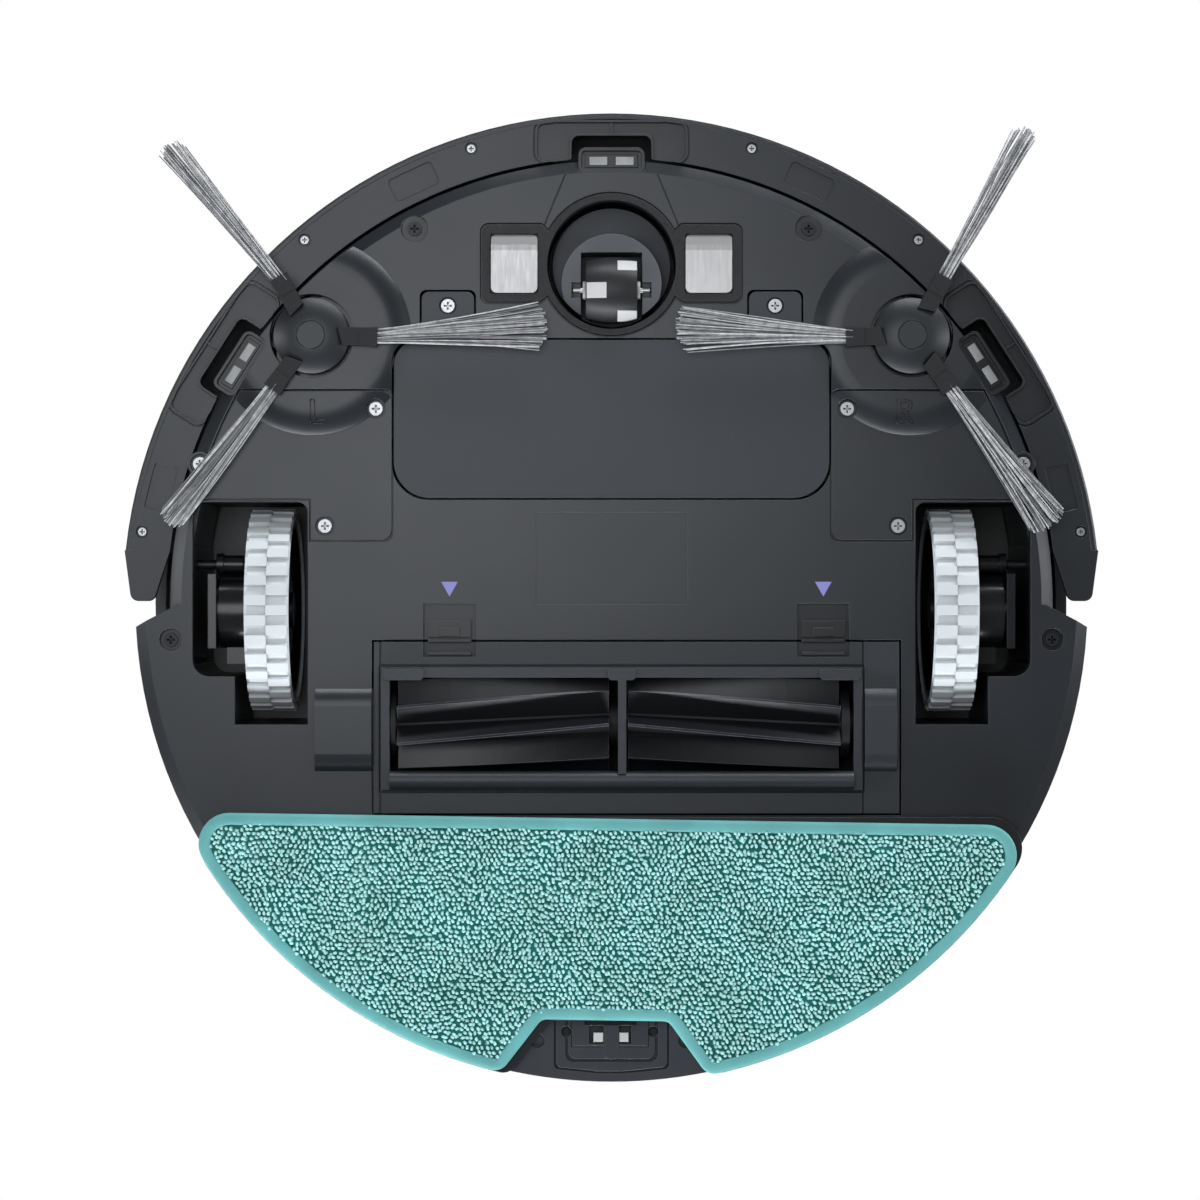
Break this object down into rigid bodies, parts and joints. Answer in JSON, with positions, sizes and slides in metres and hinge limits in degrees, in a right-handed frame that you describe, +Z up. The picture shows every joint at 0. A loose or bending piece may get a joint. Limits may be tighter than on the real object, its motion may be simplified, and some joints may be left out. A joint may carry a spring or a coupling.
{
  "type": "robot vacuum cleaner with mop",
  "caption": "Round floor-cleaning robot on wheels, with a sprung front bumper, side brushes, a main brush, a laser turret, a slide-out dust and water tank and a microfibre mop.",
  "frame": {"origin": "centre of the body's circle, on the floor that the wheels and the mop stand on", "axes": "+Z up, +Y the way the robot drives (towards the bumper), +X its L side, the side on the left when it is seen from below with its front up"},
  "size_m": [0.348, 0.3456, 0.0965],
  "materials": {
    "shell_plastic": "satin, fine grain",
    "dark_plastic": "matt",
    "gloss_black": "gloss",
    "smoked_plastic": "gloss",
    "button_plastic": "satin",
    "soft_rubber": "matt",
    "wheel_rubber": "matt",
    "bristle": "satin",
    "bright_steel": "polished",
    "dark_steel": "blackened",
    "white_marks": "gloss",
    "lavender_print": "printed",
    "microfibre": "looped pile",
    "circuit_board": "gloss",
    "battery_wrap": "shrink wrap",
    "filter_paper": "pleated"
  },
  "bodies": {
    "chassis": {"chassis_base": "shell_plastic", "body_shell": "shell_plastic", "top_cover": "shell_plastic", "brush_chamber": "dark_plastic", "battery_cover": "shell_plastic", "battery_pack": "battery_wrap", "module_cover_left": "shell_plastic", "module_cover_right": "shell_plastic", "caster_bezel": "dark_plastic", "charging_contacts": "bright_steel", "cliff_sensor_housings": "gloss_black", "cliff_sensor_lenses": "smoked_plastic", "main_board": "circuit_board", "suction_fan": "dark_plastic", "side_brush_motor_left": "gloss_black", "side_brush_motor_right": "gloss_black", "main_brush_motor": "gloss_black", "cover_screws": "bright_steel", "chassis_screws": "dark_steel", "latch_marks": "lavender_print", "lidar_base": "dark_plastic", "lidar_cap": "gloss_black", "wheel_housing_left": "dark_plastic", "wheel_housing_right": "dark_plastic"},
    "bumper": {"bumper_shell": "shell_plastic", "bumper_window": "gloss_black", "bumper_skirt": "dark_plastic", "bumper_screws": "bright_steel"},
    "side_brush_left": {"side_brush_hub_left": "dark_plastic", "side_brush_arms_left": "soft_rubber", "side_brush_bristles_left": "bristle"},
    "side_brush_right": {"side_brush_hub_right": "dark_plastic", "side_brush_arms_right": "soft_rubber", "side_brush_bristles_right": "bristle"},
    "swivel": {"caster_swivel": "gloss_black", "caster_axle": "bright_steel"},
    "caster": {"caster_wheel": "gloss_black", "caster_marks": "white_marks"},
    "wheel_arm_left": {"drive_gearbox_left": "gloss_black"},
    "wheel_arm_right": {"drive_gearbox_right": "gloss_black"},
    "drive_wheel_left": {"tyre_left": "wheel_rubber", "wheel_rim_left": "gloss_black"},
    "drive_wheel_right": {"tyre_right": "wheel_rubber", "wheel_rim_right": "gloss_black"},
    "main_brush": {"brush_core": "dark_plastic", "brush_blades": "soft_rubber"},
    "guard": {"brush_guard": "shell_plastic"},
    "latch_left": {"brush_latch_left": "dark_plastic"},
    "latch_right": {"brush_latch_right": "dark_plastic"},
    "tank": {"dust_box": "smoked_plastic", "water_tank": "smoked_plastic", "tank_filter": "filter_paper", "tank_contacts": "bright_steel"},
    "tank_release": {"tank_button": "button_plastic"},
    "mop": {"mop_plate": "dark_plastic", "mop_cloth": "microfibre"},
    "laser": {"lidar_rotor": "gloss_black"},
    "power": {"power_button": "button_plastic"},
    "home": {"home_button": "button_plastic"}
  },
  "joints": [
    {"name": "bumper_press", "type": "slide", "parent": "chassis", "child": "bumper", "axis": [0, -1, 0], "range_m": [0, 0.004], "stiffness_N_per_m": 400, "springref_m": -0.003},
    {"name": "side_brush_left_spin", "type": "hinge", "parent": "chassis", "child": "side_brush_left", "pos_m": [0.1064, 0.0944, 0.006], "axis": [0, 0, 1], "continuous": true, "deforming": ["side_brush_bristles_left"]},
    {"name": "side_brush_right_spin", "type": "hinge", "parent": "chassis", "child": "side_brush_right", "pos_m": [-0.1064, 0.0944, 0.006], "axis": [0, 0, 1], "continuous": true, "deforming": ["side_brush_bristles_right"]},
    {"name": "caster_turn", "type": "hinge", "parent": "chassis", "child": "swivel", "pos_m": [0, 0.12, 0.036], "axis": [0, 0, 1], "continuous": true},
    {"name": "caster_roll", "type": "hinge", "parent": "swivel", "child": "caster", "pos_m": [0, 0.111, 0.0122], "axis": [1, 0, 0], "continuous": true},
    {"name": "wheel_drop_left", "type": "hinge", "parent": "chassis", "child": "wheel_arm_left", "pos_m": [0.138, 0.0134, 0.0261], "axis": [1, 0, 0], "range_deg": [0, 50], "stiffness_Nm_per_rad": 0.07, "springref_deg": 80.21},
    {"name": "drive_wheel_left_spin", "type": "hinge", "parent": "wheel_arm_left", "child": "drive_wheel_left", "pos_m": [0.1222, -0.0029, 0.0365], "axis": [1, 0, 0], "continuous": true},
    {"name": "wheel_drop_right", "type": "hinge", "parent": "chassis", "child": "wheel_arm_right", "pos_m": [-0.138, 0.0134, 0.0261], "axis": [1, 0, 0], "range_deg": [0, 50], "stiffness_Nm_per_rad": 0.07, "springref_deg": 80.21},
    {"name": "drive_wheel_right_spin", "type": "hinge", "parent": "wheel_arm_right", "child": "drive_wheel_right", "pos_m": [-0.1222, -0.0029, 0.0365], "axis": [1, 0, 0], "continuous": true},
    {"name": "main_brush_spin", "type": "hinge", "parent": "chassis", "child": "main_brush", "pos_m": [-0.0025, -0.0434, 0.02], "axis": [1, 0, 0], "continuous": true},
    {"name": "guard_lift", "type": "slide", "parent": "chassis", "child": "guard", "axis": [0, 0, -1], "range_m": [0, 0.03]},
    {"name": "latch_left_slide", "type": "slide", "parent": "guard", "child": "latch_left", "axis": [0, -1, 0], "range_m": [0, 0.003], "stiffness_N_per_m": 150, "springref_m": -0.002},
    {"name": "latch_right_slide", "type": "slide", "parent": "guard", "child": "latch_right", "axis": [0, -1, 0], "range_m": [0, 0.003], "stiffness_N_per_m": 150, "springref_m": -0.002},
    {"name": "tank_slide", "type": "slide", "parent": "chassis", "child": "tank", "axis": [0, -1, 0], "range_m": [0, 0.095]},
    {"name": "tank_release_press", "type": "slide", "parent": "tank", "child": "tank_release", "axis": [0, 1, 0], "range_m": [0, 0.0015], "stiffness_N_per_m": 400, "springref_m": -0.002},
    {"name": "mop_slide", "type": "slide", "parent": "tank", "child": "mop", "axis": [0, -1, 0], "range_m": [0, 0.1]},
    {"name": "laser_spin", "type": "hinge", "parent": "chassis", "child": "laser", "pos_m": [0, -0.028, 0.085], "axis": [0, 0, 1], "continuous": true},
    {"name": "power_press", "type": "slide", "parent": "chassis", "child": "power", "axis": [0, 0, -1], "range_m": [0, 0.001], "stiffness_N_per_m": 400, "springref_m": -0.002},
    {"name": "home_press", "type": "slide", "parent": "chassis", "child": "home", "axis": [0, 0, -1], "range_m": [0, 0.001], "stiffness_N_per_m": 400, "springref_m": -0.002}
  ]
}
